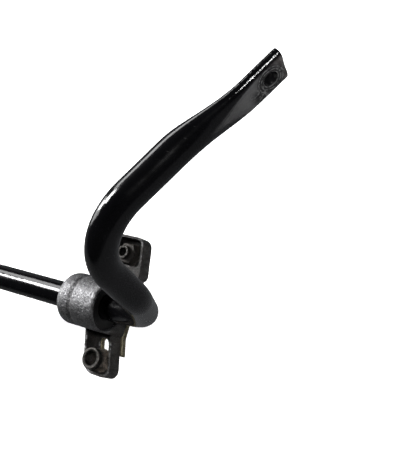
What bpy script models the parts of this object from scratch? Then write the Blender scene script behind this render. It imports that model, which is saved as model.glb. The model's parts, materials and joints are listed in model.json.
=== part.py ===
"""A car's sway bar with its two bolt-on bush clamps.

Metres, +Z up. X runs across the car and the part is a mirror image about X = 0. The arms reach
towards +Y. The clamps stand on Z = 0, on the flat backs of their plates, bolts upright.
A side's own frame (u, v, w) has its origin on the bar's axis between the two clamp bolts: u points
outboard, v along +Y and w up.
"""

import math

import bmesh
import bpy
from mathutils import Matrix, Vector

# Bar
BAR_DIAMETER = 0.022
CLAMP_X = 0.330  # from the middle of the bar to the clamp's bolts
AXIS_Y = -0.0578  # the bar's axis in the clamps, behind the middle of the whole part
JOG_OFFSET = Vector((0.0, -0.024, 0.0))  # of the middle stretch from the clamps' axis
JOG_OUTER_U = -0.135
JOG_INNER_U = -0.235
JOG_RADIUS = 0.120
SHOULDER = (Vector((0.0535, 0.0, 0.0)), 0.068)  # corner and bend radius, in the side's frame
KNEE = (Vector((0.099, 0.011, 0.0835)), 0.044)
ELBOW = (Vector((0.105, 0.032, 0.161)), 0.048)
TIP_DIRECTION = Vector((0.492, 0.853, -0.173)).normalized()
TIP_LENGTH = 0.165  # from the elbow's corner to the end of the paddle
BEND_STEP = math.radians(7.0)
BAR_SIDES = 28

# Paddle: the forged flat at the end of the arm
PADDLE_WIDTH = 0.0245
PADDLE_THICKNESS = 0.008
PADDLE_OFFSET = 0.0080  # of the flat's middle plane from the arm's axis, outboard
FLATTEN_START = 0.080  # from the elbow's corner
FLATTEN_END = 0.138
FLATTEN_STEPS = 9
EYE_DISTANCE = 0.153  # from the elbow's corner
EYE_DIAMETER = 0.012
TIP_SKEW = 0.002  # how far the end's upper corner leads and its lower corner trails

# Clamp shell
SHELL_RADIUS = 0.0220
SHELL_THICKNESS = 0.0024
SHELL_INNER_U = -0.0310
SHELL_OUTER_U = 0.0125
DOME_RADIUS = 0.007  # rounding of the inboard end
MOUTH_ROUNDING = 0.003
GROOVE_U = -0.0140
GROOVE_HALF_WIDTH = 0.0025
GROOVE_DEPTH = 0.0012
MOUTH_DIAMETER = 0.0372
DOME_HOLE_DIAMETER = 0.031
SHELL_BACK = -0.028  # w of the ears' backs
EAR_HEIGHT = 0.0133
EAR_WALL = 0.0024
EAR_START = 0.0205  # v where an ear's walls are buried in the shell's leg
REAR_EAR_HALF_WIDTH = 0.0150
REAR_EAR_MIDDLE_U = 0.0023  # at the bolt
REAR_EAR_SKEW = 0.30  # how far the ear leans outboard for each unit that it reaches back
REAR_EAR_END = 0.0578
REAR_EAR_CORNER = 0.010
FRONT_EAR_SIDES = (-0.0150, 0.0180)  # u at the bolt
FRONT_EAR_SKEW = 0.20
FRONT_EAR_START = 0.0275
FRONT_EAR_END = 0.0637
FRONT_EAR_CORNER = 0.0065
FRONT_LAND_END = 0.0385  # v of the ridge between the ear's land and its recess
FRONT_NECK_SIDES = (-0.0140, 0.0120)
REAR_BOLT = (0.0, -0.0450)
FRONT_BOLT = (-0.0015, 0.0485)
WINDOW_WIDTH = 0.0098
WINDOW_LENGTH = 0.0120
WINDOW_CENTRE = (-0.0033, -0.0322)

# Back plate, bush and nuts
PLATE_THICKNESS = 0.005
PLATE_HALF_LENGTH = 0.0376
PLATE_WAIST = 0.0230  # v where the plate is narrowest
PLATE_INNER_U = -0.0272
PLATE_OUTER_US = (0.0168, 0.0125, 0.0125, 0.0168)  # at the rear end, both waist corners, front end
GAP = 0.0003  # between touching pieces
BORE_GAP = 0.0001  # between the bar and the bush's bore, which it turns in
SPLIT_WIDTH = 0.0008
SLEEVE_NUT_ACROSS = 0.0164
SLEEVE_NUT_HEX_HEIGHT = 0.0110
SLEEVE_NUT_HEIGHT = 0.0162
SLEEVE_DIAMETER = 0.0186
SLEEVE_NUT_BORE = 0.0134
COLLAR_NUT_ACROSS = 0.017
COLLAR_NUT_HEX_HEIGHT = 0.0085
COLLAR_NUT_HEIGHT = 0.0130
COLLAR_DIAMETER = 0.0116
COLLAR_NUT_BORE = 0.0078
BOLT_HOLE_CLEARANCE = 0.0006
CHAMFER = 0.0008

BAR_RADIUS = BAR_DIAMETER / 2
BUSH_RADIUS = SHELL_RADIUS - SHELL_THICKNESS - GAP
EAR_FLOOR_TOP = SHELL_BACK + SHELL_THICKNESS
AXIS_Z = -SHELL_BACK + GAP + PLATE_THICKNESS
ROUND_SIDES = 32
PAST = 0.004  # how far a cutter runs past the face it cuts

X_AXIS = Vector((1.0, 0.0, 0.0))
Z_AXIS = Vector((0.0, 0.0, 1.0))


def material(name, color, roughness, metallic):
    made = bpy.data.materials.new(name)
    made.use_nodes = True
    shader = made.node_tree.nodes["Principled BSDF"]
    shader.inputs["Base Color"].default_value = (*color, 1.0)
    shader.inputs["Roughness"].default_value = roughness
    shader.inputs["Metallic"].default_value = metallic
    return made


def closed_mesh(name, bm):
    """The mesh of a closed bmesh, with its faces turned outwards."""
    bmesh.ops.recalc_face_normals(bm, faces=bm.faces)
    mesh = bpy.data.meshes.new(name)
    bm.to_mesh(mesh)
    bm.free()
    return mesh


def helper(name, mesh):
    """A hidden object for use in a Boolean."""
    made = bpy.data.objects.new(name, mesh)
    bpy.context.scene.collection.objects.link(made)
    made.hide_render = True
    made.display_type = "WIRE"
    return made


def combined(base, steps):
    """The mesh left after each (operation, mesh) of steps is applied to the base mesh."""
    body = helper("body", base)
    others = []
    for operation, mesh in steps:
        other = helper("tool", mesh)
        others.append(other)
        boolean = body.modifiers.new(operation.title(), "BOOLEAN")
        boolean.operation = operation
        boolean.solver = "EXACT"
        boolean.object = other
    bpy.context.view_layer.update()
    graph = bpy.context.evaluated_depsgraph_get()
    result = bpy.data.meshes.new_from_object(body.evaluated_get(graph))
    for made in [body, *others]:
        bpy.data.objects.remove(made)
    return result


def loft(rings):
    """A closed skin over rings of points, each with the same count, and flat ends."""
    bm = bmesh.new()
    rows = [[bm.verts.new(point) for point in ring] for ring in rings]
    for low, high in zip(rows, rows[1:]):
        for i in range(len(low)):
            j = (i + 1) % len(low)
            bm.faces.new((low[i], low[j], high[j], high[i]))
    bm.faces.new(rows[0])
    bm.faces.new(rows[-1])
    return bm


def prism(outline, low, high):
    """An upright prism on an outline of (u, v) points, from w = low to w = high."""
    return closed_mesh("prism", loft([[(u, v, w) for u, v in outline] for w in (low, high)]))


def cylinder(radius, start, end, sides=ROUND_SIDES):
    """A cylinder whose ends are centred on two points."""
    axis = (end - start).normalized()
    turn = Z_AXIS.rotation_difference(axis).to_matrix()
    circle = [
        turn @ Vector((radius * math.cos(a), radius * math.sin(a), 0.0))
        for a in (math.tau * i / sides for i in range(sides))
    ]
    return closed_mesh("cylinder", loft([[centre + p for p in circle] for centre in (start, end)]))


def rounded_rectangle(u0, u1, v0, v1, radii, steps=6):
    """An outline whose corners (u1 v0, u1 v1, u0 v1, u0 v0) have the given radii."""
    corners = ((u1, v0, -90), (u1, v1, 0), (u0, v1, 90), (u0, v0, 180))
    outline = []
    for (u, v, first), radius in zip(corners, radii):
        if radius == 0:
            outline.append((u, v))
            continue
        centre_u = u - math.copysign(radius, u - (u0 + u1) / 2)
        centre_v = v - math.copysign(radius, v - (v0 + v1) / 2)
        for i in range(steps + 1):
            a = math.radians(first + 90 * i / steps)
            outline.append((centre_u + radius * math.cos(a), centre_v + radius * math.sin(a)))
    return outline


# ---------------------------------------------------------------- bar


def corner_points(before, corner, after, radius):
    """Points on the arc that rounds a corner of the centreline."""
    inward, outward = (corner - before).normalized(), (after - corner).normalized()
    turn = inward.angle(outward)
    tangent = radius * math.tan(turn / 2)
    centre = corner + (outward - inward).normalized() * radius / math.cos(turn / 2)
    start = corner - inward * tangent
    axis = inward.cross(outward).normalized()
    steps = max(2, math.ceil(turn / BEND_STEP))
    return [
        centre + Matrix.Rotation(turn * i / steps, 3, axis) @ (start - centre)
        for i in range(steps + 1)
    ]


def tip_point(distance):
    """A point of the arm's axis, at a distance from the elbow's corner."""
    return ELBOW[0] + TIP_DIRECTION * distance


def centreline():
    """The right half's axis from the paddle's end to X = 0, in the side's frame."""
    middle = Vector((-CLAMP_X, 0.0, 0.0)) + JOG_OFFSET
    corners = [
        ELBOW,
        KNEE,
        SHOULDER,
        (Vector((JOG_OUTER_U, 0.0, 0.0)), JOG_RADIUS),
        (Vector((JOG_INNER_U, 0.0, 0.0)) + JOG_OFFSET, JOG_RADIUS),
    ]
    stops = [tip_point(TIP_LENGTH)] + [corner for corner, _ in corners] + [middle]
    span = FLATTEN_END - FLATTEN_START
    points = [tip_point(TIP_LENGTH)]
    for i in range(FLATTEN_STEPS + 1):
        points.append(tip_point(FLATTEN_END - span * i / FLATTEN_STEPS))
    for i, (corner, radius) in enumerate(corners):
        points += corner_points(stops[i], corner, stops[i + 2], radius)
    return points + [middle]


def circle_point(share):
    angle = math.tau * share
    return BAR_RADIUS * math.cos(angle), BAR_RADIUS * math.sin(angle)


def flat_point(share):
    """A point of the paddle's section, flat sides joined by round edges, by share of its length."""
    radius = PADDLE_THICKNESS / 2
    half_flat = PADDLE_WIDTH / 2 - radius
    length = 4 * half_flat + math.tau * radius
    run = share * length
    if run > length / 2:
        x, y = flat_point(1 - share)
        return x, -y
    if run <= half_flat:
        return radius, run
    if run >= half_flat + math.pi * radius:
        return -radius, length / 2 - run
    angle = (run - half_flat) / radius
    return radius * math.cos(angle), half_flat + radius * math.sin(angle)


def smooth(share):
    share = min(max(share, 0.0), 1.0)
    return share * share * (3 - 2 * share)


def bar_rings():
    """The bar's section at each point of the axis, carried along it without twist."""
    points = centreline()
    face = TIP_DIRECTION.cross(Z_AXIS).normalized()
    tangent = -TIP_DIRECTION
    rings = []
    for i, point in enumerate(points):
        if 0 < i < len(points) - 1:
            new = (points[i + 1] - points[i]).normalized() + (point - points[i - 1]).normalized()
            new.normalize()
        else:
            new = X_AXIS * -1 if i else tangent
        face = tangent.rotation_difference(new) @ face
        tangent = new
        across = tangent.cross(face)
        along = (point - ELBOW[0]).dot(TIP_DIRECTION)
        flat = smooth((along - FLATTEN_START) / (FLATTEN_END - FLATTEN_START))
        ring = []
        for j in range(BAR_SIDES):
            share = (j + 0.5) / BAR_SIDES
            (x0, y0), (x1, y1) = circle_point(share), flat_point(share)
            x = x0 + (x1 + PADDLE_OFFSET - x0) * flat
            y = y0 + (y1 - y0) * flat
            place = point + face * x + across * y
            if i == 0:
                place += TIP_DIRECTION * TIP_SKEW * (across * y).z / (PADDLE_WIDTH / 2)
            ring.append(place)
        rings.append(ring)
    return rings


def eye_axis():
    """The eye's centre in the paddle's middle plane, and the way its bore runs."""
    face = TIP_DIRECTION.cross(Z_AXIS).normalized()
    return tip_point(EYE_DISTANCE) + face * PADDLE_OFFSET, face


def bar_mesh():
    """Both halves, joined at X = 0, with an eye through each paddle."""
    half = bmesh.new()
    rings = bar_rings()
    rows = [[half.verts.new(point) for point in ring] for ring in rings]
    for low, high in zip(rows, rows[1:]):
        for i in range(BAR_SIDES):
            j = (i + 1) % BAR_SIDES
            half.faces.new((low[i], low[j], high[j], high[i]))
    half.faces.new(rows[0])
    bmesh.ops.translate(half, verts=half.verts, vec=(CLAMP_X, 0.0, 0.0))
    for vert in rows[-1]:
        vert.co.x = 0.0
    other = half.copy()
    bmesh.ops.scale(other, verts=other.verts, vec=(-1.0, 1.0, 1.0))
    bmesh.ops.reverse_faces(other, faces=other.faces)
    part = bpy.data.meshes.new("half")
    other.to_mesh(part)
    other.free()
    half.from_mesh(part)
    bmesh.ops.remove_doubles(half, verts=half.verts, dist=0.00001)
    centre, face = eye_axis()
    centre = centre + Vector((CLAMP_X, 0.0, 0.0))
    eyes = []
    for side in (1, -1):
        flip = Matrix.Diagonal((side, 1.0, 1.0))
        start, end = (flip @ (centre + face * reach) for reach in (-PADDLE_THICKNESS, PADDLE_THICKNESS))
        eyes.append(("DIFFERENCE", cylinder(EYE_DIAMETER / 2, start, end)))
    return combined(closed_mesh("bar", half), eyes)


# ---------------------------------------------------------------- clamp


def arched_section(u, radius, back, steps=14):
    """A section across the bar's axis: a half circle above it and straight legs down to w = back."""
    arch = [
        (u, radius * math.cos(a), radius * math.sin(a))
        for a in (math.pi * i / steps for i in range(steps + 1))
    ]
    return [(u, radius, back), *arch, (u, -radius, back)]


def shell_stations():
    """(u, radius) along the shell's outside: dome, groove and mouth."""
    quarter = [math.pi / 2 * i / 4 for i in range(5)]
    stations = []
    for a in quarter:
        u = SHELL_INNER_U + DOME_RADIUS * (1 - math.cos(a))
        stations.append((u, SHELL_RADIUS - DOME_RADIUS * (1 - math.sin(a))))
    for share in (-1.0, -0.5, 0.0, 0.5, 1.0):
        depth = GROOVE_DEPTH * (1 + math.cos(math.pi * share)) / 2
        stations.append((GROOVE_U + GROOVE_HALF_WIDTH * share, SHELL_RADIUS - depth))
    for a in quarter:
        u = SHELL_OUTER_U - MOUTH_ROUNDING * (1 - math.sin(a))
        stations.append((u, SHELL_RADIUS - MOUTH_ROUNDING * (1 - math.cos(a))))
    return stations


def cavity_stations(gap):
    """(u, radius) along the shell's inside, drawn in by a gap."""
    inner_radius = SHELL_RADIUS - SHELL_THICKNESS - gap
    inner_u = SHELL_INNER_U + SHELL_THICKNESS + gap
    rounding = DOME_RADIUS - SHELL_THICKNESS
    return [
        (inner_u, inner_radius - rounding),
        (inner_u + rounding * 0.3, inner_radius - rounding * 0.3),
        (inner_u + rounding, inner_radius),
        (SHELL_OUTER_U - SHELL_THICKNESS - gap, inner_radius),
    ]


def arched_body(stations, back):
    return closed_mesh("arched", loft([arched_section(u, radius, back) for u, radius in stations]))


def box(u0, u1, v0, v1, w0, w1):
    return prism(rounded_rectangle(u0, u1, v0, v1, (0, 0, 0, 0)), w0, w1)


def upright_hole(bolt, diameter):
    """A cutter for a bolt's hole through the ear's floor."""
    start, end = (Vector((*bolt, w)) for w in (SHELL_BACK - PAST, EAR_FLOOR_TOP + PAST))
    return cylinder(diameter / 2, start, end)


def window_cutter(w0, w1):
    """A cutter for the window between the barrel and the rear bolt."""
    u, v = WINDOW_CENTRE
    half_width, half_length = WINDOW_WIDTH / 2, WINDOW_LENGTH / 2
    outline = rounded_rectangle(
        u - half_width, u + half_width, v - half_length, v + half_length, (WINDOW_WIDTH * 0.4,) * 4
    )
    return prism(skewed(outline, REAR_EAR_SKEW, v), w0, w1)


def skewed(outline, skew, v_kept):
    """An outline that leans: it keeps its place at v_kept, and moves in u with distance from there."""
    return [(u - skew * (v - v_kept), v) for u, v in outline]


def rear_ear():
    """The ear for the sleeve nut: a channel with walls on three sides."""
    u0, u1 = REAR_EAR_MIDDLE_U - REAR_EAR_HALF_WIDTH, REAR_EAR_MIDDLE_U + REAR_EAR_HALF_WIDTH
    end, start = -REAR_EAR_END, -EAR_START
    inner_radius = REAR_EAR_CORNER - EAR_WALL
    outline = rounded_rectangle(u0, u1, end, start, (REAR_EAR_CORNER, 0, 0, REAR_EAR_CORNER))
    pocket = rounded_rectangle(
        u0 + EAR_WALL, u1 - EAR_WALL, end + EAR_WALL, start + PAST, (inner_radius, 0, 0, inner_radius)
    )
    outline, pocket = (skewed(line, REAR_EAR_SKEW, REAR_BOLT[1]) for line in (outline, pocket))
    top = SHELL_BACK + EAR_HEIGHT
    return combined(
        prism(outline, SHELL_BACK, top), [("DIFFERENCE", prism(pocket, EAR_FLOOR_TOP, top + PAST))]
    )


def front_ear():
    """The ear for the collar nut: a broad block with a land beside the barrel and a recess."""
    u0, u1 = FRONT_EAR_SIDES
    radii = (FRONT_EAR_CORNER,) * 4
    inner_radii = (FRONT_EAR_CORNER - EAR_WALL,) * 4
    outline = rounded_rectangle(u0, u1, FRONT_EAR_START, FRONT_EAR_END, radii)
    pocket = rounded_rectangle(
        u0 + EAR_WALL, u1 - EAR_WALL, FRONT_LAND_END, FRONT_EAR_END - EAR_WALL, inner_radii
    )
    outline, pocket = (skewed(line, FRONT_EAR_SKEW, FRONT_BOLT[1]) for line in (outline, pocket))
    top = SHELL_BACK + EAR_HEIGHT
    neck = box(*FRONT_NECK_SIDES, EAR_START, FRONT_LAND_END - EAR_WALL, SHELL_BACK, top - EAR_WALL)
    return combined(
        prism(outline, SHELL_BACK, top),
        [("UNION", neck), ("DIFFERENCE", prism(pocket, EAR_FLOOR_TOP, top + PAST))],
    )


def clamp_shell():
    """The pressed strap: a barrel over the bush, open below, and an ear for a bolt on each side."""
    mouth = cylinder(
        MOUTH_DIAMETER / 2, X_AXIS * (SHELL_OUTER_U - 2 * PAST), X_AXIS * (SHELL_OUTER_U + PAST)
    )
    dome_hole = cylinder(
        DOME_HOLE_DIAMETER / 2, X_AXIS * (SHELL_INNER_U - PAST), X_AXIS * (SHELL_INNER_U + 2 * PAST)
    )
    return combined(
        arched_body(shell_stations(), SHELL_BACK),
        [
            ("UNION", rear_ear()),
            ("UNION", front_ear()),
            ("DIFFERENCE", arched_body(cavity_stations(0.0), SHELL_BACK - PAST)),
            ("DIFFERENCE", mouth),
            ("DIFFERENCE", dome_hole),
            ("DIFFERENCE", upright_hole(REAR_BOLT, SLEEVE_NUT_BORE + BOLT_HOLE_CLEARANCE)),
            ("DIFFERENCE", upright_hole(FRONT_BOLT, COLLAR_NUT_BORE + BOLT_HOLE_CLEARANCE)),
            ("DIFFERENCE", window_cutter(SHELL_BACK - PAST, EAR_FLOOR_TOP + PAST)),
        ],
    )


def bush():
    """The rubber block round the bar, flat below and split there so that it opens over the bar."""
    back = SHELL_BACK
    inner_u, outer_u = SHELL_INNER_U - PAST, SHELL_OUTER_U + PAST
    half_split = SPLIT_WIDTH / 2
    return combined(
        arched_body(cavity_stations(GAP), back),
        [
            ("DIFFERENCE", cylinder(BAR_RADIUS + BORE_GAP, X_AXIS * inner_u, X_AXIS * outer_u, 40)),
            ("DIFFERENCE", box(inner_u, outer_u, -half_split, half_split, back - PAST, -BAR_RADIUS / 2)),
        ],
    )


def back_plate():
    """The flat plate that closes the shell behind the bush, with the rear ear's window carried through."""
    top = SHELL_BACK - GAP
    bottom = top - PLATE_THICKNESS
    places = (-PLATE_HALF_LENGTH, -PLATE_WAIST, PLATE_WAIST, PLATE_HALF_LENGTH)
    outline = list(zip(PLATE_OUTER_US, places))
    outline += [(PLATE_INNER_U, PLATE_HALF_LENGTH), (PLATE_INNER_U, -PLATE_HALF_LENGTH)]
    return combined(
        prism(outline, bottom, top), [("DIFFERENCE", window_cutter(bottom - PAST, top + PAST))]
    )


def hexagon(across, bolt, first):
    """A hexagon's corners about a bolt, the first one at an angle from +u."""
    corner = across / math.sqrt(3)
    return [
        (bolt[0] + corner * math.cos(a), bolt[1] + corner * math.sin(a))
        for a in (first + math.tau * i / 6 for i in range(6))
    ]


def turned(profile, bolt, sides=36):
    """A solid turned about a bolt, from (radius, w) points, bottom to top."""
    rings = [
        [
            (bolt[0] + radius * math.cos(a), bolt[1] + radius * math.sin(a), w)
            for a in (math.tau * i / sides for i in range(sides))
        ]
        for radius, w in profile
    ]
    return closed_mesh("turned", loft(rings))


def weld_nut(bolt, first, across, hex_height, height, crown_diameter, bore_diameter):
    """A hexagon with a round crown on top, threaded right through, standing on an ear's floor."""
    base = EAR_FLOOR_TOP + GAP
    hex_top, top = base + hex_height, base + height
    radius = crown_diameter / 2
    crown_profile = [(radius, hex_top - CHAMFER), (radius, top - CHAMFER), (radius - CHAMFER, top)]
    bore = cylinder(bore_diameter / 2, Vector((*bolt, base - PAST)), Vector((*bolt, top + PAST)))
    return combined(
        prism(hexagon(across, bolt, first), base, hex_top),
        [("UNION", turned(crown_profile, bolt)), ("DIFFERENCE", bore)],
    )


def sleeve_nut():
    """The long weld nut in the rear ear, its flats beside the ear's walls."""
    return weld_nut(
        REAR_BOLT,
        math.radians(30),
        SLEEVE_NUT_ACROSS,
        SLEEVE_NUT_HEX_HEIGHT,
        SLEEVE_NUT_HEIGHT,
        SLEEVE_DIAMETER,
        SLEEVE_NUT_BORE,
    )


def collar_nut():
    """The weld nut in the front ear, with a narrow locking collar."""
    return weld_nut(
        FRONT_BOLT,
        0.0,
        COLLAR_NUT_ACROSS,
        COLLAR_NUT_HEX_HEIGHT,
        COLLAR_NUT_HEIGHT,
        COLLAR_DIAMETER,
        COLLAR_NUT_BORE,
    )


# ---------------------------------------------------------------- assembly


def place(name, mesh, look, parent=None):
    """A visible piece with smooth shading between its sharp edges."""
    mesh.name = name
    mesh.materials.clear()
    mesh.materials.append(look)
    mesh.shade_smooth()
    mesh.set_sharp_from_angle(angle=math.radians(32.0))
    made = bpy.data.objects.new(name, mesh)
    bpy.context.scene.collection.objects.link(made)
    made.parent = parent
    return made


def mirrored(mesh):
    copy = mesh.copy()
    copy.transform(Matrix.Diagonal((-1.0, 1.0, 1.0, 1.0)))
    copy.flip_normals()
    return copy


def main():
    for old in list(bpy.data.objects):
        bpy.data.objects.remove(old)

    black_paint = material("black_paint", (0.006, 0.006, 0.007), 0.18, 0.0)
    bare_steel = material("bare_steel", (0.13, 0.125, 0.12), 0.5, 0.85)
    zinc_plate = material("zinc_plate", (0.20, 0.18, 0.12), 0.5, 0.8)
    nut_steel = material("nut_steel", (0.15, 0.13, 0.11), 0.42, 0.9)
    rubber = material("rubber", (0.012, 0.012, 0.012), 0.55, 0.0)

    bar = place("sway_bar", bar_mesh(), black_paint)
    bar.location = (0.0, AXIS_Y, AXIS_Z)

    pieces = {
        "clamp_shell": (clamp_shell(), bare_steel),
        "clamp_back_plate": (back_plate(), zinc_plate),
        "bush": (bush(), rubber),
        "sleeve_nut": (sleeve_nut(), nut_steel),
        "collar_nut": (collar_nut(), nut_steel),
    }
    for side_name, side in (("right", 1), ("left", -1)):
        hinge = bpy.data.objects.new(f"clamp_hinge_{side_name}", None)
        bpy.context.scene.collection.objects.link(hinge)
        hinge.location = (side * CLAMP_X, AXIS_Y, AXIS_Z)
        for piece_name, (mesh, look) in pieces.items():
            own = mesh.copy() if side > 0 else mirrored(mesh)
            place(f"{piece_name}_{side_name}", own, look, hinge)
    for mesh, _ in pieces.values():
        bpy.data.meshes.remove(mesh)


main()
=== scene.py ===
import json
import math

import bmesh
import bpy
import numpy as np
from mathutils import Matrix, Vector, noise


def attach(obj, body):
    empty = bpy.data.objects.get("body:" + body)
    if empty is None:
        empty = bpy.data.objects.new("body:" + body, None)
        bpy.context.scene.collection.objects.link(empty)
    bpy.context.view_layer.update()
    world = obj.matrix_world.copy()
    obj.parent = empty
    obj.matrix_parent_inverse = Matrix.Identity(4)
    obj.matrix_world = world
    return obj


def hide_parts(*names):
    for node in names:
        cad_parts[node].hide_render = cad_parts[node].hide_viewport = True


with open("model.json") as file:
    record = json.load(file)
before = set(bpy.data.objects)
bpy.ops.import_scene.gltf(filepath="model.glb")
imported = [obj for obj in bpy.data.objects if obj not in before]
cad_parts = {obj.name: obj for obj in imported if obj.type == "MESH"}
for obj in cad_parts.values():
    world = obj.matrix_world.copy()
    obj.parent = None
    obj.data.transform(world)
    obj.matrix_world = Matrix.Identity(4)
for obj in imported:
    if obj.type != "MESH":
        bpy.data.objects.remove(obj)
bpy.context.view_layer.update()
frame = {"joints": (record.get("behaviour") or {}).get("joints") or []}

# A side's own frame (u outboard, v along +Y, w up) starts on the bar's axis between its clamp bolts.
HINGE = Vector(next(j for j in frame["joints"] if j["name"] == "clamp_turn_right")["pos_m"])
CLAMP_X = HINGE.x
X_AXIS = Vector((1.0, 0.0, 0.0))
Z_AXIS = Vector((0.0, 0.0, 1.0))

# Bar
BAR_DIAMETER = 0.022
BAR_RADIUS = BAR_DIAMETER / 2
JOG_OFFSET = Vector((0.0, -0.024, 0.0))
JOG_OUTER_U, JOG_INNER_U, JOG_RADIUS = -0.135, -0.235, 0.120
SHOULDER = (Vector((0.0535, 0.0, 0.0)), 0.068)
KNEE = (Vector((0.099, 0.011, 0.0835)), 0.044)
ELBOW = (Vector((0.105, 0.032, 0.161)), 0.048)
TIP_DIRECTION = Vector((0.492, 0.853, -0.173)).normalized()
TIP_FACE = TIP_DIRECTION.cross(Z_AXIS).normalized()
TIP_LENGTH = 0.165
PADDLE_WIDTH, PADDLE_THICKNESS, PADDLE_OFFSET = 0.0245, 0.008, 0.0080
FLATTEN_START, FLATTEN_END = 0.080, 0.138
EYE_DISTANCE, EYE_DIAMETER = 0.153, 0.012
WORN_RING_PITCH, WORN_RING_INNER, WORN_RING_OUTER = 0.0019, 0.0100, 0.0125
FACE_START, FACE_FADE = 0.088, 0.020
TIP_SKEW = 0.002
END_ROUNDING = 0.0013
DENT_DEPTH, DENT_SCALE = 0.00012, 260.0
BEND_STEP = math.radians(1.6)
RING_STEP = 0.0025
BAR_SIDES, EYE_SIDES, END_STEPS = 72, 64, 6

# Clamp
SHELL_RADIUS, SHELL_THICKNESS = 0.0220, 0.0024
SHELL_INNER_U, SHELL_OUTER_U = -0.0310, 0.0125
DOME_RADIUS, MOUTH_ROUNDING = 0.007, 0.003
GROOVE_U, GROOVE_HALF_WIDTH, GROOVE_DEPTH = -0.0140, 0.0030, 0.0010
MOUTH_DIAMETER, DOME_HOLE_DIAMETER = 0.0372, 0.031
SHELL_BACK = -0.028
EAR_HEIGHT, EAR_WALL, EAR_START = 0.0133, 0.0024, 0.0205
REAR_EAR_HALF_WIDTH, REAR_EAR_MIDDLE_U, REAR_EAR_SKEW = 0.0150, 0.0023, 0.30
REAR_EAR_END, REAR_EAR_CORNER = 0.0578, 0.010
FRONT_EAR_SIDES, FRONT_EAR_SKEW = (-0.0150, 0.0180), 0.20
FRONT_EAR_START, FRONT_EAR_END, FRONT_EAR_CORNER = 0.0275, 0.0637, 0.0065
FRONT_LAND_END = 0.0385
FRONT_NECK_SIDES = (-0.0140, 0.0120)
REAR_BOLT, FRONT_BOLT = (0.0, -0.0450), (-0.0015, 0.0485)
REAR_HOLE_DIAMETER, FRONT_HOLE_DIAMETER = 0.0140, 0.0084
WINDOW_WIDTH, WINDOW_LENGTH, WINDOW_CENTRE = 0.0098, 0.0120, (-0.0033, -0.0322)
PLATE_THICKNESS, PLATE_HALF_LENGTH, PLATE_WAIST = 0.005, 0.0376, 0.0230
PLATE_INNER_U, PLATE_OUTER_US = -0.0272, (0.0168, 0.0125, 0.0125, 0.0168)
GAP, BORE_GAP, SPLIT_WIDTH = 0.0003, 0.0001, 0.0008
EAR_FLOOR_TOP, EAR_TOP = SHELL_BACK + SHELL_THICKNESS, SHELL_BACK + EAR_HEIGHT
PAST = 0.004  # how far a cutter stands past what it cuts
CYLINDER_SIDES, ARCH_STEPS, CORNER_STEPS = 96, 56, 12

# Nuts
NUT_SIDES, THREAD_STEPS = 120, 8
CHAMFER, HEX_CHAMFER, CROWN_FILLET, THREAD_RELIEF = 0.0008, 0.0013, 0.0007, 0.0006
WELD_STEP, WELD_BULGES = 0.0006, (0.0013, 0.0010, 0.0004)
NUT_DENT_DEPTH, NUT_DENT_SCALE = 0.00007, 420.0


# ---------------------------------------------------------------- mesh tools


def closed_mesh(name, bm):
    bmesh.ops.recalc_face_normals(bm, faces=bm.faces)
    mesh = bpy.data.meshes.new(name)
    bm.to_mesh(mesh)
    bm.free()
    return mesh


def helper(name, mesh):
    made = bpy.data.objects.new(name, mesh)
    bpy.context.scene.collection.objects.link(made)
    return made


def combined(base, steps, voxel=0.0, smoothing=0):
    """The mesh left after the Booleans of steps, then a remesh that rounds its edges."""
    body = helper("body", base)
    others = []
    for operation, mesh in steps:
        other = helper("tool", mesh)
        others.append(other)
        boolean = body.modifiers.new(operation.title(), "BOOLEAN")
        boolean.operation, boolean.solver, boolean.object = operation, "EXACT", other
    if voxel:
        remesh = body.modifiers.new("Remesh", "REMESH")
        remesh.mode, remesh.voxel_size = "VOXEL", voxel
        soften = body.modifiers.new("Smooth", "SMOOTH")
        soften.factor, soften.iterations = 0.5, smoothing
    bpy.context.view_layer.update()
    graph = bpy.context.evaluated_depsgraph_get()
    result = bpy.data.meshes.new_from_object(body.evaluated_get(graph))
    for made in [body, *others]:
        bpy.data.objects.remove(made)
    return result


def loft(rings, looped=False, caps=(0, -1)):
    """A skin over rings of points, each with the same count, closed over the rings in caps."""
    bm = bmesh.new()
    rows = [[bm.verts.new(point) for point in ring] for ring in rings]
    pairs = list(zip(rows, rows[1:])) + ([(rows[-1], rows[0])] if looped else [])
    for low, high in pairs:
        for i in range(len(low)):
            j = (i + 1) % len(low)
            bm.faces.new((low[i], low[j], high[j], high[i]))
    for end in () if looped else caps:
        bm.faces.new(rows[end])
    return bm


def prism(outline, low, high):
    return closed_mesh("prism", loft([[(u, v, w) for u, v in outline] for w in (low, high)]))


def cylinder(radius, start, end):
    axis = (end - start).normalized()
    turn = Z_AXIS.rotation_difference(axis).to_matrix()
    circle = [
        turn @ Vector((radius * math.cos(a), radius * math.sin(a), 0.0))
        for a in (math.tau * i / CYLINDER_SIDES for i in range(CYLINDER_SIDES))
    ]
    return closed_mesh("cylinder", loft([[centre + p for p in circle] for centre in (start, end)]))


def rounded_rectangle(u0, u1, v0, v1, radii):
    """An outline whose corners have the radii given, from (u1, v0) round to (u0, v0)."""
    corners = ((u1, v0, -90), (u1, v1, 0), (u0, v1, 90), (u0, v0, 180))
    outline = []
    for (u, v, first), radius in zip(corners, radii):
        if radius == 0:
            outline.append((u, v))
            continue
        centre_u = u - math.copysign(radius, u - (u0 + u1) / 2)
        centre_v = v - math.copysign(radius, v - (v0 + v1) / 2)
        for i in range(CORNER_STEPS + 1):
            a = math.radians(first + 90 * i / CORNER_STEPS)
            outline.append((centre_u + radius * math.cos(a), centre_v + radius * math.sin(a)))
    return outline


def skewed(outline, skew, v_kept):
    return [(u - skew * (v - v_kept), v) for u, v in outline]


def smooth(share):
    share = min(max(share, 0.0), 1.0)
    return share * share * (3 - 2 * share)


def paint_attribute(mesh, name, values):
    layer = mesh.attributes.new(name, "FLOAT", "POINT")
    layer.data.foreach_set("value", np.asarray(values, np.float32))


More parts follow.
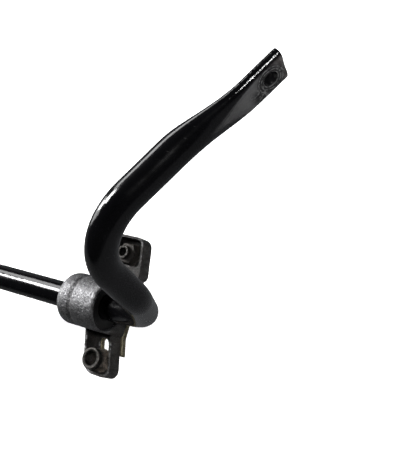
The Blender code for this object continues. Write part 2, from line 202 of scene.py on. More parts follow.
def coordinates(mesh):
    found = np.empty(len(mesh.vertices) * 3, np.float32)
    mesh.vertices.foreach_get("co", found)
    return found.reshape(-1, 3)


def edge_attributes(mesh):
    """Stores how far each point stands out (edge) or lies in a hollow (cavity), from 0 to 1."""
    co = coordinates(mesh)
    ends = np.empty(len(mesh.edges) * 2, np.int32)
    mesh.edges.foreach_get("vertices", ends)
    a, b = ends.reshape(-1, 2).T
    normals = np.empty(len(co) * 3, np.float32)
    mesh.vertices.foreach_get("normal", normals)
    normals = normals.reshape(-1, 3)
    count = np.maximum(np.bincount(a, minlength=len(co)) + np.bincount(b, minlength=len(co)), 1)

    def average(values):
        total = np.zeros_like(values)
        np.add.at(total, a, values[b])
        np.add.at(total, b, values[a])
        return total / (count[:, None] if values.ndim == 2 else count)

    blurred = co
    for _ in range(3):
        blurred = average(blurred)
    bulge = ((co - blurred) * normals).sum(1)
    for _ in range(2):
        bulge = average(bulge)
    size = np.percentile(np.abs(bulge), 97) + 1e-9
    paint_attribute(mesh, "edge", np.clip(bulge / size, 0, 1))
    paint_attribute(mesh, "cavity", np.clip(-bulge / size, 0, 1))


# ---------------------------------------------------------------- bar


def corner_points(before, corner, after, radius):
    """The arc that rounds a corner between two straights."""
    inward, outward = (corner - before).normalized(), (after - corner).normalized()
    turn = inward.angle(outward)
    tangent = radius * math.tan(turn / 2)
    centre = corner + (outward - inward).normalized() * radius / math.cos(turn / 2)
    start = corner - inward * tangent
    axis = inward.cross(outward).normalized()
    steps = max(2, math.ceil(turn / BEND_STEP))
    return [
        centre + Matrix.Rotation(turn * i / steps, 3, axis) @ (start - centre)
        for i in range(steps + 1)
    ]


def centreline():
    """The right half's axis from the paddle's end to X = 0, at even steps along its straights."""
    middle = Vector((-CLAMP_X, 0.0, 0.0)) + JOG_OFFSET
    corners = [
        ELBOW,
        KNEE,
        SHOULDER,
        (Vector((JOG_OUTER_U, 0.0, 0.0)), JOG_RADIUS),
        (Vector((JOG_INNER_U, 0.0, 0.0)) + JOG_OFFSET, JOG_RADIUS),
    ]
    stops = [ELBOW[0] + TIP_DIRECTION * TIP_LENGTH] + [corner for corner, _ in corners] + [middle]
    coarse = [stops[0]]
    for i, (corner, radius) in enumerate(corners):
        coarse += corner_points(stops[i], corner, stops[i + 2], radius)
    coarse.append(middle)
    fine = [coarse[0]]
    for start, end in zip(coarse, coarse[1:]):
        steps = max(1, round((end - start).length / RING_STEP))
        fine += [start.lerp(end, (k + 1) / steps) for k in range(steps)]
    return fine


def flat_point(share, thickness, width):
    """A point at a share of the way round a flat bar's section with round edges."""
    radius = thickness / 2
    half_flat = width / 2 - radius
    length = 4 * half_flat + math.tau * radius
    run = share * length
    if run > length / 2:
        x, y = flat_point(1 - share, thickness, width)
        return x, -y
    if run <= half_flat:
        return radius, run
    if run >= half_flat + math.pi * radius:
        return -radius, length / 2 - run
    angle = (run - half_flat) / radius
    return radius * math.cos(angle), half_flat + radius * math.sin(angle)


def bar_mesh():
    """The whole bar: round, flattened towards its ends, mirrored at X = 0 and pierced by its eyes."""
    points = centreline()
    face, tangent = TIP_FACE, -TIP_DIRECTION
    rings = []
    for i, point in enumerate(points):
        if 0 < i < len(points) - 1:
            new = (points[i + 1] - points[i]).normalized() + (point - points[i - 1]).normalized()
            new.normalize()
        else:
            new = X_AXIS * -1 if i else tangent
        face = tangent.rotation_difference(new) @ face
        tangent = new
        across = tangent.cross(face)
        along = (point - ELBOW[0]).dot(TIP_DIRECTION)
        flat = smooth((along - FLATTEN_START) / (FLATTEN_END - FLATTEN_START))
        skew = smooth((along - EYE_DISTANCE) / (TIP_LENGTH - EYE_DISTANCE))
        ring = []
        for j in range(BAR_SIDES):
            share = (j + 0.5) / BAR_SIDES
            angle = math.tau * share
            x0, y0 = BAR_RADIUS * math.cos(angle), BAR_RADIUS * math.sin(angle)
            x1, y1 = flat_point(share, PADDLE_THICKNESS, PADDLE_WIDTH)
            x = x0 + (x1 + PADDLE_OFFSET - x0) * flat
            y = y0 + (y1 - y0) * flat
            place = point + face * x + across * y
            place += TIP_DIRECTION * TIP_SKEW * skew * (across * y).z / (PADDLE_WIDTH / 2)
            if flat > 0:
                place += face * DENT_DEPTH * flat * noise.noise(place * DENT_SCALE)
            ring.append(place)
        rings.append(ring)
    end = []
    centre = sum(rings[0], Vector()) / BAR_SIDES
    for i in range(END_STEPS):
        a = math.pi / 2 * i / END_STEPS
        inset, back = END_ROUNDING * (1 - math.sin(a)), END_ROUNDING * (1 - math.cos(a))
        end.append([
            p + (centre - p).normalized() * inset - TIP_DIRECTION * back for p in rings[0]
        ])
    rings[0] = [p - TIP_DIRECTION * END_ROUNDING for p in rings[0]]
    half = loft(end + rings, caps=(0,))
    bmesh.ops.translate(half, verts=half.verts, vec=(CLAMP_X, 0.0, 0.0))
    for vert in list(half.verts)[-BAR_SIDES:]:
        vert.co.x = 0.0
    other = half.copy()
    bmesh.ops.scale(other, verts=other.verts, vec=(-1.0, 1.0, 1.0))
    bmesh.ops.reverse_faces(other, faces=other.faces)
    part = bpy.data.meshes.new("half")
    other.to_mesh(part)
    other.free()
    half.from_mesh(part)
    bmesh.ops.remove_doubles(half, verts=half.verts, dist=0.00001)
    centre = ELBOW[0] + TIP_DIRECTION * EYE_DISTANCE + TIP_FACE * PADDLE_OFFSET + X_AXIS * CLAMP_X
    eyes = []
    for side in (1, -1):
        flip = Matrix.Diagonal((side, 1.0, 1.0))
        eyes.append(("DIFFERENCE", eye_cutter(flip @ centre, flip @ TIP_FACE)))
    return combined(closed_mesh("bar", half), eyes)


def eye_cutter(centre, axis):
    """A forged bore, narrower inboard, with countersunk mouths that end past the faces."""
    radius, half = EYE_DIAMETER / 2, PADDLE_THICKNESS / 2
    turn = Z_AXIS.rotation_difference(axis).to_matrix()
    profile = [
        (radius + 0.0004, -half - 0.0024),
        (radius - 0.0020, -half + 0.0004),
        (radius - 0.0010, half - 0.0005),
        (radius + 0.0024, half + 0.0029),
    ]
    rings = []
    for r, z in profile:
        rings.append([
            centre + turn @ Vector((r * math.cos(a), r * math.sin(a), z))
            for a in (math.tau * i / EYE_SIDES for i in range(EYE_SIDES))
        ])
    return closed_mesh("eye", loft(rings))


# ---------------------------------------------------------------- clamp


def arched_section(u, radius, back):
    arch = [
        (u, radius * math.cos(a), radius * math.sin(a))
        for a in (math.pi * i / ARCH_STEPS for i in range(ARCH_STEPS + 1))
    ]
    return [(u, radius, back), *arch, (u, -radius, back)]


def shell_stations():
    """Places along the shell with their radii: the dome, the groove and the mouth."""
    quarter = [math.pi / 2 * i / 10 for i in range(11)]
    stations = []
    for a in quarter:
        u = SHELL_INNER_U + DOME_RADIUS * (1 - math.cos(a))
        stations.append((u, SHELL_RADIUS - DOME_RADIUS * (1 - math.sin(a))))
    for i in range(-8, 9):
        share = i / 8
        depth = GROOVE_DEPTH * (1 + math.cos(math.pi * share)) / 2
        stations.append((GROOVE_U + GROOVE_HALF_WIDTH * share, SHELL_RADIUS - depth))
    for a in quarter:
        u = SHELL_OUTER_U - MOUTH_ROUNDING * (1 - math.sin(a))
        stations.append((u, SHELL_RADIUS - MOUTH_ROUNDING * (1 - math.cos(a))))
    return stations


def cavity_stations(gap):
    """Places along the shell's inside with their radii, drawn in by a gap."""
    inner_radius = SHELL_RADIUS - SHELL_THICKNESS - gap
    inner_u = SHELL_INNER_U + SHELL_THICKNESS + gap
    rounding = DOME_RADIUS - SHELL_THICKNESS
    stations = []
    for i in range(9):
        a = math.pi / 2 * i / 8
        u = inner_u + rounding * (1 - math.cos(a))
        stations.append((u, inner_radius - rounding * (1 - math.sin(a))))
    return stations + [(SHELL_OUTER_U - SHELL_THICKNESS - gap, inner_radius)]


def arched_body(stations, back):
    return closed_mesh("arched", loft([arched_section(u, radius, back) for u, radius in stations]))


def box(u0, u1, v0, v1, w0, w1):
    return prism(rounded_rectangle(u0, u1, v0, v1, (0, 0, 0, 0)), w0, w1)


def upright_hole(bolt, diameter):
    start, end = (Vector((*bolt, w)) for w in (SHELL_BACK - PAST, EAR_FLOOR_TOP + PAST))
    return cylinder(diameter / 2, start, end)


def window_cutter(w0, w1):
    u, v = WINDOW_CENTRE
    half_width, half_length = WINDOW_WIDTH / 2, WINDOW_LENGTH / 2
    outline = rounded_rectangle(
        u - half_width, u + half_width, v - half_length, v + half_length, (WINDOW_WIDTH * 0.4,) * 4
    )
    return prism(skewed(outline, REAR_EAR_SKEW, v), w0, w1)


def rear_ear():
    u0, u1 = REAR_EAR_MIDDLE_U - REAR_EAR_HALF_WIDTH, REAR_EAR_MIDDLE_U + REAR_EAR_HALF_WIDTH
    end, start = -REAR_EAR_END, -EAR_START
    inner_radius = REAR_EAR_CORNER - EAR_WALL
    outline = rounded_rectangle(u0, u1, end, start, (REAR_EAR_CORNER, 0, 0, REAR_EAR_CORNER))
    pocket = rounded_rectangle(
        u0 + EAR_WALL, u1 - EAR_WALL, end + EAR_WALL, start + PAST, (inner_radius, 0, 0, inner_radius)
    )
    outline, pocket = (skewed(line, REAR_EAR_SKEW, REAR_BOLT[1]) for line in (outline, pocket))
    return combined(
        prism(outline, SHELL_BACK, EAR_TOP),
        [("DIFFERENCE", prism(pocket, EAR_FLOOR_TOP, EAR_TOP + PAST))],
    )


def front_ear():
    u0, u1 = FRONT_EAR_SIDES
    radii = (FRONT_EAR_CORNER,) * 4
    inner_radii = (FRONT_EAR_CORNER - EAR_WALL,) * 4
    outline = rounded_rectangle(u0, u1, FRONT_EAR_START, FRONT_EAR_END, radii)
    pocket = rounded_rectangle(
        u0 + EAR_WALL, u1 - EAR_WALL, FRONT_LAND_END, FRONT_EAR_END - EAR_WALL, inner_radii
    )
    outline, pocket = (skewed(line, FRONT_EAR_SKEW, FRONT_BOLT[1]) for line in (outline, pocket))
    neck_end, neck_top = FRONT_LAND_END - EAR_WALL, EAR_TOP - EAR_WALL
    neck = box(*FRONT_NECK_SIDES, EAR_START, neck_end, SHELL_BACK, neck_top)
    return combined(
        prism(outline, SHELL_BACK, EAR_TOP),
        [("UNION", neck), ("DIFFERENCE", prism(pocket, EAR_FLOOR_TOP, EAR_TOP + PAST))],
    )


def clamp_shell():
    mouth = cylinder(
        MOUTH_DIAMETER / 2, X_AXIS * (SHELL_OUTER_U - 2 * PAST), X_AXIS * (SHELL_OUTER_U + PAST)
    )
    dome_hole = cylinder(
        DOME_HOLE_DIAMETER / 2, X_AXIS * (SHELL_INNER_U - PAST), X_AXIS * (SHELL_INNER_U + 2 * PAST)
    )
    return combined(
        arched_body(shell_stations(), SHELL_BACK),
        [
            ("UNION", rear_ear()),
            ("UNION", front_ear()),
            ("DIFFERENCE", arched_body(cavity_stations(0.0), SHELL_BACK - PAST)),
            ("DIFFERENCE", mouth),
            ("DIFFERENCE", dome_hole),
            ("DIFFERENCE", upright_hole(REAR_BOLT, REAR_HOLE_DIAMETER)),
            ("DIFFERENCE", upright_hole(FRONT_BOLT, FRONT_HOLE_DIAMETER)),
            ("DIFFERENCE", window_cutter(SHELL_BACK - PAST, EAR_FLOOR_TOP + PAST)),
        ],
        voxel=0.00055,
        smoothing=4,
    )


def bush():
    back = SHELL_BACK
    inner_u, outer_u = SHELL_INNER_U - PAST, SHELL_OUTER_U + PAST
    half_split = SPLIT_WIDTH / 2
    bore = cylinder(BAR_RADIUS + BORE_GAP, X_AXIS * inner_u, X_AXIS * outer_u)
    split = box(inner_u, outer_u, -half_split, half_split, back - PAST, -BAR_RADIUS / 2)
    return combined(
        arched_body(cavity_stations(GAP), back),
        [("DIFFERENCE", bore), ("DIFFERENCE", split)],
        voxel=0.0006,
        smoothing=2,
    )


def back_plate():
    top = SHELL_BACK - GAP
    bottom = top - PLATE_THICKNESS
    places = (-PLATE_HALF_LENGTH, -PLATE_WAIST, PLATE_WAIST, PLATE_HALF_LENGTH)
    outline = list(zip(PLATE_OUTER_US, places))
    outline += [(PLATE_INNER_U, PLATE_HALF_LENGTH), (PLATE_INNER_U, -PLATE_HALF_LENGTH)]
    return combined(
        prism(outline, bottom, top),
        [("DIFFERENCE", window_cutter(bottom - PAST, top + PAST))],
        voxel=0.0006,
        smoothing=3,
    )


# ---------------------------------------------------------------- nuts


def nut_mesh(bolt, first, across, hex_height, height, crown, bore, pitch, thread, weld_limit):
    """A hexagon with chamfered corners, a round crown and a cut thread, on a lumpy weld."""
    base = EAR_FLOOR_TOP
    hex_top, top = base + GAP + hex_height, base + GAP + height
    apothem, crown_radius, bore_radius = across / 2, crown / 2, bore / 2
    corner = across / math.sqrt(3)

    def hexagon(a, w):
        turned = (a - first + math.pi / 6) % (math.pi / 3) - math.pi / 6
        radius = apothem / math.cos(math.pi / 6 - abs(turned))
        limit = corner * 0.985 - max(0.0, w - (hex_top - HEX_CHAMFER)) * 1.7
        return min(radius, limit)

    def weld(bulge):
        def radius(a, w):
            spot = Vector((math.cos(a) * 3.1, math.sin(a) * 3.1, bulge * 900))
            lump = 1.0 + 0.5 * noise.noise(spot)
            return min(hexagon(a, w) + bulge * lump, weld_limit)
        return radius

    def round_to(value):
        return lambda a, w: value

    def threaded(a, w):
        phase = (w / pitch - a / math.tau) % 1.0
        return bore_radius - thread / 2 + thread * (1 - abs(2 * phase - 1))

    # The section starts and ends at the foot of the bore, and runs up outside and down the thread.
    weld_top, crown_start = base + len(WELD_BULGES) * WELD_STEP, hex_top + CROWN_FILLET
    flats_height = hex_top - HEX_CHAMFER - 0.0001 - weld_top
    crown_height = top - CHAMFER - crown_start
    rows = [(threaded, base)]
    rows += [(weld(bulge), base + WELD_STEP * i) for i, bulge in enumerate(WELD_BULGES)]
    rows += [(hexagon, weld_top + flats_height * i / 4) for i in range(5)]
    rows += [(hexagon, hex_top - HEX_CHAMFER * (1 - i / 4)) for i in range(1, 5)]
    if crown_radius < apothem:
        rows.append((round_to(crown_radius + 0.0008), hex_top))
        rows.append((round_to(crown_radius + 0.0002), hex_top + 0.0003))
    rows += [(round_to(crown_radius), crown_start + crown_height * i / 3) for i in range(4)]
    for i in range(1, 5):
        a = math.pi / 2 * i / 4
        chamfered = crown_radius - CHAMFER * (1 - math.cos(a))
        rows.append((round_to(chamfered), top - CHAMFER * (1 - math.sin(a))))
    crest_radius, thread_top = bore_radius - thread / 2, top - THREAD_RELIEF
    rows.append((round_to(crest_radius + 0.0003), top))
    rows.append((round_to(crest_radius + 0.0001), top - 0.0002))
    steps = int((thread_top - base) / (pitch / THREAD_STEPS))
    rows += [(threaded, thread_top - (thread_top - base) * i / steps) for i in range(steps)]
    rings = []
    for radius, w in rows:
        ring = []
        for i in range(NUT_SIDES):
            a = math.tau * i / NUT_SIDES
            r = radius(a, w)
            spot = Vector((r * math.cos(a), r * math.sin(a), w))
            r += NUT_DENT_DEPTH * noise.noise(spot * NUT_DENT_SCALE)
            ring.append((bolt[0] + r * math.cos(a), bolt[1] + r * math.sin(a), w))
        rings.append(ring)
    made = closed_mesh("nut", loft(rings, looped=True))
    co = coordinates(made)
    from_axis = np.hypot(co[:, 0] - bolt[0], co[:, 1] - bolt[1])
    in_bore = from_axis < bore_radius + thread / 2 + 0.0001
    # The bore is marked hollow, for painted shade.
    paint_attribute(made, "hollow", np.where(in_bore, 1.0, 0.0))
    return made


def sleeve_nut():
    return nut_mesh(
        REAR_BOLT, math.radians(30), across=0.0164, hex_height=0.0110, height=0.0162, crown=0.0186,
        bore=0.0126, pitch=0.0015, thread=0.0008, weld_limit=0.0101,
    )


def collar_nut():
    return nut_mesh(
        FRONT_BOLT, 0.0, across=0.017, hex_height=0.0085, height=0.0130, crown=0.0116,
        bore=0.0073, pitch=0.00125, thread=0.0005, weld_limit=0.0112,
    )


# ---------------------------------------------------------------- materials


class Look:
    """A material's node tree, with short calls for the nodes it is made of."""

    def __init__(self, name):
        self.material = bpy.data.materials.new(name)
        self.material.use_nodes = True
        self.tree = self.material.node_tree
        self.shader = self.tree.nodes["Principled BSDF"]
        self.place = self.node("ShaderNodeTexCoord").outputs["Object"]

    def node(self, kind, **settings):
        made = self.tree.nodes.new(kind)
        for key, value in settings.items():
            setattr(made, key, value)
        return made

    def feed(self, socket, value):
        if isinstance(value, bpy.types.NodeSocket):
            self.tree.links.new(value, socket)
        elif isinstance(value, tuple) and len(value) == 3 and socket.type == "RGBA":
            socket.default_value = (*value, 1.0)
        else:
            socket.default_value = value

    def noise(self, scale, detail=4.0, rough=0.55, distortion=0.0, place=None):
        made = self.node("ShaderNodeTexNoise")
        self.feed(made.inputs["Vector"], place or self.place)
        self.feed(made.inputs["Scale"], scale)
        self.feed(made.inputs["Detail"], detail)
        self.feed(made.inputs["Roughness"], rough)
        self.feed(made.inputs["Distortion"], distortion)
        return made.outputs["Fac"]

    def cells(self, scale):
        made = self.node("ShaderNodeTexVoronoi")
        self.feed(made.inputs["Vector"], self.place)
        self.feed(made.inputs["Scale"], scale)
        return made.outputs["Distance"]

    def stretched(self, factors, turn=(0.0, 0.0, 0.0)):
        made = self.node("ShaderNodeMapping")
        self.feed(made.inputs["Vector"], self.place)
        made.inputs["Rotation"].default_value = turn
        made.inputs["Scale"].default_value = factors
        return made.outputs["Vector"]

    def range(self, value, low, high, to_low=0.0, to_high=1.0):
        made = self.node("ShaderNodeMapRange", interpolation_type="SMOOTHSTEP")
        for name, given in (("Value", value), ("From Min", low), ("From Max", high),
                            ("To Min", to_low), ("To Max", to_high)):
            self.feed(made.inputs[name], given)
        return made.outputs["Result"]

    def math(self, operation, a, b=0.0, clamp=False):
        made = self.node("ShaderNodeMath", operation=operation, use_clamp=clamp)
        self.feed(made.inputs[0], a)
        self.feed(made.inputs[1], b)
        return made.outputs[0]

    def times(self, value, *factors):
        for factor in factors:
            value = self.math("MULTIPLY", value, factor)
        return value

    def mix(self, share, a, b):
        made = self.node("ShaderNodeMix", data_type="RGBA")
        self.feed(made.inputs["Factor"], share)
        self.feed(made.inputs[6], a)
        self.feed(made.inputs[7], b)
        return made.outputs[2]

    def blend(self, share, a, b):
        made = self.node("ShaderNodeMix", data_type="FLOAT")
        self.feed(made.inputs["Factor"], share)
        self.feed(made.inputs[2], a)
        self.feed(made.inputs[3], b)
        return made.outputs[0]

    def attribute(self, name):
        return self.node("ShaderNodeAttribute", attribute_name=name).outputs["Fac"]

    def part(self, axis):
        made = self.node("ShaderNodeSeparateXYZ")
        self.feed(made.inputs[0], self.place)
        return made.outputs[axis]

    def from_eye(self, direction):
        """How far along a direction a point of the bar lies from the nearer link eye."""
        eye = ELBOW[0] + TIP_DIRECTION * EYE_DISTANCE + Vector((CLAMP_X, HINGE.y, HINGE.z))
        total = -eye.dot(direction)
        for axis, share in zip("XYZ", direction):
            value = self.part(axis)
            if axis == "X":
                value = self.math("ABSOLUTE", value)
            total = self.math("ADD", self.math("MULTIPLY", value, share), total)
        return total

    def bump(self, height, strength, distance, under=None):
        made = self.node("ShaderNodeBump")
        self.feed(made.inputs["Height"], height)
        self.feed(made.inputs["Strength"], strength)
        self.feed(made.inputs["Distance"], distance)
        if under is not None:
            self.feed(made.inputs["Normal"], under)
        return made.outputs["Normal"]

    def finish(self, color, roughness, metallic, normal, **constants):
        self.feed(self.shader.inputs["Base Color"], color)
        self.feed(self.shader.inputs["Roughness"], roughness)
        self.feed(self.shader.inputs["Metallic"], metallic)
        if normal is not None:
            self.feed(self.shader.inputs["Normal"], normal)
        for name, value in constants.items():
            self.shader.inputs[name.replace("_", " ")].default_value = value
        return self.material


def scaled(color, share):
    return tuple(channel * share for channel in color)


def black_paint():
    """Gloss black on forged steel, dusty and scratched, rubbed through round the link eyes."""
    look = Look("black_paint")
    broad, fine = look.noise(38.0, 3.0), look.noise(950.0, 3.0)
    uneven = look.noise(420.0, 5.0, 0.7)

    # Where on the flattened end a point lies: along and across it from the eye, and on its face below
    # the edge of the painted floor reflection.
    along, across = look.from_eye(TIP_DIRECTION), look.from_eye(TIP_FACE.cross(TIP_DIRECTION))
    squares = look.math("POWER", along, 2.0), look.math("POWER", across, 2.0)
    from_centre = look.math("SQRT", look.math("ADD", *squares))
    floor_reflection_edge = look.range(along, -0.055, 0.0, 0.0020, 0.0105)
    below = look.math("SUBTRACT", floor_reflection_edge, across)
    face = look.times(look.attribute("face"), look.range(below, -0.0006, 0.0012))
    tip = look.range(along, -0.045, -0.010)

    # Rings that a washer wore round the eye, a scuffed patch beside it, and the bar's worn end.
    wobble = look.math("ADD", from_centre, look.times(look.noise(260.0), 0.0016))
    ripple = look.math("SINE", look.times(wobble, math.tau / WORN_RING_PITCH))
    ringed = look.times(
        look.range(ripple, 0.1, 0.9),
        look.range(uneven, 0.42, 0.58),
        look.range(wobble, WORN_RING_OUTER, WORN_RING_INNER),
    )
    patches = look.range(look.noise(330.0, 6.0, 0.75, 0.8), 0.50, 0.60)
    scuffed = look.times(
        look.range(along, -0.020, -0.012),
        look.range(along, -0.002, -0.008),
        look.range(across, 0.004, -0.003),
    )
    chipped = look.times(scuffed, patches)
    end = look.times(look.range(along, 0.004, 0.011), look.range(uneven, 0.40, 0.62))
    rubbed = look.math("MAXIMUM", ringed, look.times(chipped, 0.8))
    rubbed = look.math("MAXIMUM", rubbed, look.times(end, 0.35))
    rubbed = look.math("MULTIPLY", rubbed, face, True)

    dust = look.range(look.noise(2600.0, 2.0), 0.66, 0.74)
    grey = look.mix(broad, (0.0015, 0.0015, 0.0018), (0.0035, 0.0035, 0.0042))
    grey = look.mix(look.times(dust, 0.10), grey, (0.09, 0.09, 0.09))
    # Partly painted reflection: the flat face is grey where it would mirror the pale floor. Partly
    # worn duller paint, brownish at the end and darker round the eye.
    flat = look.mix(uneven, (0.040, 0.040, 0.041), (0.076, 0.076, 0.077))
    flat = look.mix(look.range(along, -0.004, 0.012), flat, (0.024, 0.018, 0.016))
    near_eye = look.range(from_centre, 0.013, 0.008)
    flat = look.mix(look.math("MAXIMUM", scuffed, near_eye), flat, (0.006, 0.006, 0.006))
    color = look.mix(rubbed, look.mix(face, grey, flat), (0.23, 0.23, 0.232))

    streaks = look.noise(90.0, 6.0, 0.7, 0.4, look.stretched((1.0, 9.0, 1.0), (0.0, 0.0, 0.52)))
    scratch = look.range(streaks, 0.64, 0.70)
    roughness = look.range(broad, 0.3, 0.7, 0.10, 0.17)
    roughness = look.math("ADD", roughness, look.times(face, 0.28))
    roughness = look.math("ADD", roughness, look.times(scratch, 0.16))

    bump = look.bump(fine, 0.10, 0.0003)
    bump = look.bump(look.noise(160.0, 2.0), 0.14, 0.0008, bump)
    worn = look.math("ADD", look.math("ADD", chipped, ringed), uneven)
    bump = look.bump(look.times(worn, face), 0.5, 0.0005, bump)
    bump = look.bump(look.times(look.noise(230.0, 4.0, 0.6), tip), 0.35, 0.0012, bump)
    return look.finish(color, roughness, look.times(rubbed, 0.6), bump, IOR=1.45)


def weathered_steel(name, clean, dark, dirt_color, dirt_height, gloss, worn):
    """Bare pressed steel: mottled, speckled with painted glints, dirty in its hollows and below
    dirt_height, and painted with shade where marked hollow.
    """
    look = Look(name)
    edge, cavity, hollow = (look.attribute(kind) for kind in ("edge", "cavity", "hollow"))
    mottle = look.noise(130.0, 6.0, 0.65, 0.3)
    grain = look.noise(800.0, 4.0, 0.75)
    speck = look.range(look.cells(620.0), 0.10, 0.32)
    streaks = look.noise(160.0, 5.0, 0.65, 0.0, look.stretched((3.0, 3.0, 0.8)))
    clots = look.range(look.noise(480.0, 6.0, 0.8, 0.6), 0.42, 0.60)

    # Painted glints: bright specks in the colour that stand in for sparkle highlights.
    painted_glints = look.times(look.range(grain, 0.52, 0.70), 0.8)
    pits = look.times(look.range(grain, 0.48, 0.34), 0.85)
    rubbed = look.range(look.noise(300.0), 0.48, 0.66)
    rubbed = look.math("MULTIPLY", look.range(edge, 0.5, 1.0), rubbed, True)
    base = look.mix(look.range(mottle, 0.35, 0.65), dark, clean)
    base = look.mix(painted_glints, base, scaled(clean, 1.9))
    base = look.mix(pits, base, scaled(dark, 0.3))
    base = look.mix(rubbed, base, scaled(clean, worn))

    low = look.range(look.part("Z"), dirt_height[1], dirt_height[0])
    dirty = look.times(low, look.range(streaks, 0.30, 0.62, 0.80, 1.0))
    caught = look.times(cavity, look.range(mottle, 0.25, 0.5))
    dirty = look.math("MAXIMUM", dirty, caught, True)
    kept = look.math("SUBTRACT", 1.0, look.times(rubbed, 0.8))
    dirty = look.math("MULTIPLY", dirty, kept, True)
    crust = look.mix(clots, dirt_color, scaled(dirt_color, 0.08))
    color = look.mix(dirty, base, crust)
    # Painted shade: near black where hollow marks the shell's inside, its front ear's pocket and the
    # nuts' bores.
    color = look.mix(look.times(hollow, 0.85), color, scaled(dark, 0.06))

    roughness = look.range(grain, 0.35, 0.65, gloss + 0.12, gloss - 0.06)
    roughness = look.blend(dirty, roughness, look.blend(clots, 0.6, 0.34))
    metallic = look.blend(dirty, 0.9, 0.1)
    bump = look.bump(grain, 0.9, 0.0005)
    bump = look.bump(mottle, 0.6, 0.0010, bump)
    bump = look.bump(look.noise(380.0, 3.0, 0.6), 0.8, 0.0008, bump)
    bump = look.bump(speck, 0.4, 0.0003, bump)
    bump = look.bump(look.times(clots, dirty), 0.7, 0.0008, bump)
    return look.finish(color, roughness, metallic, bump)


def rubber_look():
    look = Look("bush_rubber")
    cloud = look.noise(120.0, 5.0)
    dusty = look.times(look.range(look.noise(500.0, 5.0, 0.7), 0.5, 0.7), 0.5)
    black = look.mix(cloud, (0.002, 0.002, 0.002), (0.005, 0.005, 0.005))
    color = look.mix(dusty, black, (0.014, 0.013, 0.012))
    bump = look.bump(look.noise(1500.0, 3.0), 0.3, 0.0002)
    return look.finish(color, look.range(cloud, 0.3, 0.7, 0.45, 0.7), 0.0, bump)


def pale_look(name, glow):
    """Glowing white, for the studio's floor and backdrop."""
    look = Look(f"studio_{name}")
    tone = look.mix(look.noise(3.0, 2.0), (0.84, 0.84, 0.84), (0.86, 0.86, 0.86))
    look.shader.inputs["Emission Color"].default_value = (1.0, 1.0, 1.0, 1.0)
    return look.finish(tone, 0.9, 0.0, None, Emission_Strength=glow)


# ---------------------------------------------------------------- pieces


def place(name, mesh, material, body, slot, node, flip=False):
    """A piece in the row frame that stands for a CAD node and rides on its body."""
    mesh = mesh.copy()
    if flip:
        mesh.transform(Matrix.Diagonal((-1.0, 1.0, 1.0, 1.0)))
        mesh.flip_normals()
    mesh.transform(Matrix.Translation((-HINGE.x if flip else HINGE.x, HINGE.y, HINGE.z)))
    return put(name, mesh, material, body, node)


def put(name, mesh, material, body, node):
    mesh.name = name
    mesh.materials.clear()
    mesh.materials.append(material)
    mesh.shade_smooth()
    piece = bpy.data.objects.new(name, mesh)
    bpy.context.scene.collection.objects.link(piece)
    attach(piece, body)
    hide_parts(node)
    return piece


def face_attribute(mesh):
    """Stores how far a point belongs to the flat outer face of a paddle (face)."""
    co = coordinates(mesh).astype(float)
    co[:, 0] = np.abs(co[:, 0])
    co -= np.array(ELBOW[0] + Vector((CLAMP_X, HINGE.y, HINGE.z)))
    along = co @ np.array(TIP_DIRECTION)
    out = co @ np.array(TIP_FACE) - PADDLE_OFFSET
    outboard = np.clip(out / (PADDLE_THICKNESS / 2) * 6 - 5, 0, 1)
    paint_attribute(mesh, "face", outboard * np.clip((along - FACE_START) / FACE_FADE, 0, 1))


def recess_shade_attribute(mesh):
    """Marks the shell's inside and, a little less, the pocket of its front ear (hollow), for painted
    shade.
    """
    u, v, w = coordinates(mesh).T
    inside = np.hypot(v, w) < SHELL_RADIUS - SHELL_THICKNESS * 0.7
    inside &= w > SHELL_BACK + 0.006
    u = u + FRONT_EAR_SKEW * (v - FRONT_BOLT[1])
    pocket = (u > FRONT_EAR_SIDES[0] + EAR_WALL / 2) & (u < FRONT_EAR_SIDES[1] - EAR_WALL / 2)
    pocket &= (v > FRONT_LAND_END - EAR_WALL / 4) & (v < FRONT_EAR_END - EAR_WALL / 2)
    pocket &= w < EAR_TOP - 0.0010
    paint_attribute(mesh, "hollow", np.where(pocket, 0.8, np.where(inside, 1.0, 0.0)))


paint = black_paint()
steel = weathered_steel("shell_steel", (0.205, 0.205, 0.21), (0.115, 0.115, 0.118),
                        (0.020, 0.0165, 0.0135), (0.021, 0.030), 0.45, 1.7)
nut_steel = weathered_steel("nut_steel", (0.055, 0.053, 0.050), (0.034, 0.031, 0.028),
                            (0.380, 0.320, 0.265), (0.014, 0.020), 0.34, 2.8)
zinc = weathered_steel("plate_zinc", (0.26, 0.235, 0.16), (0.15, 0.13, 0.085),
                       (0.04, 0.031, 0.018), (-0.002, 0.003), 0.45, 1.3)
collar_steel = weathered_steel("collar_steel", (0.060, 0.058, 0.055), (0.034, 0.031, 0.028),
                               (0.050, 0.042, 0.035), (0.014, 0.020), 0.32, 2.8)
rubber = rubber_look()

bar = bar_mesh()
bar.transform(Matrix.Translation((0.0, HINGE.y, HINGE.z)))
face_attribute(bar)
put("bar_painted", bar, paint, "bar", "sway_bar")
bar.set_sharp_from_angle(angle=math.radians(38.0))

pieces = (
    ("clamp_shell", "shell_pressed", clamp_shell(), steel, "bare_steel"),
    ("clamp_back_plate", "back_plate_plated", back_plate(), zinc, "zinc_plate"),
    ("bush", "bush_moulded", bush(), rubber, "rubber"),
    ("sleeve_nut", "sleeve_nut_threaded", sleeve_nut(), nut_steel, "nut_steel"),
    ("collar_nut", "collar_nut_threaded", collar_nut(), collar_steel, "nut_steel"),
)
for node_name, piece_name, mesh, material, slot in pieces:
    edge_attributes(mesh)
    if node_name == "clamp_shell":
        recess_shade_attribute(mesh)
    for side, flip in (("right", False), ("left", True)):
        made = place(
            f"{piece_name}_{side}", mesh, material, f"clamp_{side}", slot, f"{node_name}_{side}", flip
        )
        made.data.set_sharp_from_angle(angle=math.radians(60.0))

# ---------------------------------------------------------------- studio

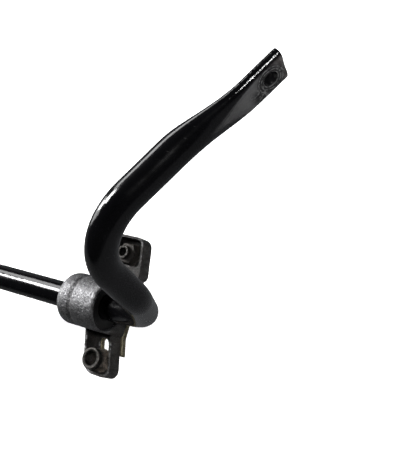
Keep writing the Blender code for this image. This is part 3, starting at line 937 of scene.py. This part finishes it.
# The floor lies low enough for a clamp turned to its limit. Only the camera sees the backdrop.
STUDIO_RADIUS, FLOOR_DROP = 20.0, 0.024
floor_bm = bmesh.new()
bmesh.ops.create_circle(floor_bm, cap_ends=True, segments=64, radius=STUDIO_RADIUS)
backdrop_bm = bmesh.new()
bmesh.ops.create_icosphere(backdrop_bm, subdivisions=5, radius=STUDIO_RADIUS)
for name, stage_bm, glow, lit in (
    ("floor", floor_bm, 0.85, True),
    ("backdrop", backdrop_bm, 0.92, False),
):
    stage_mesh = bpy.data.meshes.new(name)
    stage_bm.to_mesh(stage_mesh)
    stage_bm.free()
    stage_mesh.materials.append(pale_look(name, glow))
    stage_piece = bpy.data.objects.new(name, stage_mesh)
    stage_piece.location.z = -FLOOR_DROP
    stage_piece.visible_glossy = False
    stage_piece.visible_diffuse = stage_piece.visible_shadow = lit
    bpy.context.scene.collection.objects.link(stage_piece)

FOCUS = Vector((CLAMP_X + 0.05, HINGE.y + 0.03, HINGE.z + 0.03))


def softbox(name, direction, distance, width, height, power):
    light = bpy.data.lights.new(name, "AREA")
    light.shape, light.size, light.size_y, light.energy = "RECTANGLE", width, height, power
    made = bpy.data.objects.new(name, light)
    bpy.context.scene.collection.objects.link(made)
    toward = Vector(direction).normalized()
    made.location = FOCUS + toward * distance
    made.rotation_euler = toward.to_track_quat("Z", "Y").to_matrix().to_euler()


softbox("strip", (-0.71, 0.25, 0.66), 1.3, 0.32, 0.36, 17.0)
softbox("spot", (-0.90, 0.17, 0.40), 1.3, 0.20, 0.28, 7.0)
softbox("halo", (-0.71, 0.56, 0.42), 1.5, 0.50, 0.50, 5.0)
softbox("glow", (-0.93, 0.12, 0.33), 1.3, 0.50, 0.80, 4.5)
softbox("key", (0.65, 0.105, 0.783), 1.3, 0.13, 0.26, 10.0)

# The room's own light: a little from below the horizon and nearly none from above it.
world = bpy.data.worlds.new("studio")
bpy.context.scene.world = world
world.use_nodes = True
tree = world.node_tree
room = tree.nodes["Background"]
room.inputs["Color"].default_value = (0.95, 0.97, 1.0, 1.0)
height = tree.nodes.new("ShaderNodeSeparateXYZ")
tree.links.new(tree.nodes.new("ShaderNodeTexCoord").outputs["Generated"], height.inputs[0])
shade = tree.nodes.new("ShaderNodeMapRange")
for name, value in (("From Min", -0.04), ("From Max", 0.02), ("To Min", 0.13), ("To Max", 0.006)):
    shade.inputs[name].default_value = value
tree.links.new(height.outputs["Z"], shade.inputs["Value"])
tree.links.new(shade.outputs["Result"], room.inputs["Strength"])

scene = bpy.context.scene
scene.view_settings.view_transform = "Standard"

# The camera stands over the outboard rear corner, rolled so that the arm climbs to the upper right.
CAMERA_OFFSET = Vector((20.814, -0.008, 25.024)) * BAR_DIAMETER
SENSOR_WIDTH, FOCAL_LENGTH = 36.0, 74.271845
forward = Vector((-0.557, 0.11, -0.823)).normalized()
right = Vector((0.814, 0.27, -0.515))
right = (right - forward * right.dot(forward)).normalized()
up = right.cross(forward)
camera = bpy.data.objects.new("camera", bpy.data.cameras.new("camera"))
scene.collection.objects.link(camera)
camera.data.sensor_width, camera.data.lens = SENSOR_WIDTH, FOCAL_LENGTH
camera.data.clip_start = 0.01
camera.data.sensor_fit = "HORIZONTAL"
camera.matrix_world = Matrix((
    (right.x, up.x, -forward.x, HINGE.x + CAMERA_OFFSET.x),
    (right.y, up.y, -forward.y, HINGE.y + CAMERA_OFFSET.y),
    (right.z, up.z, -forward.z, HINGE.z + CAMERA_OFFSET.z),
    (0.0, 0.0, 0.0, 1.0),
))
scene.camera = camera
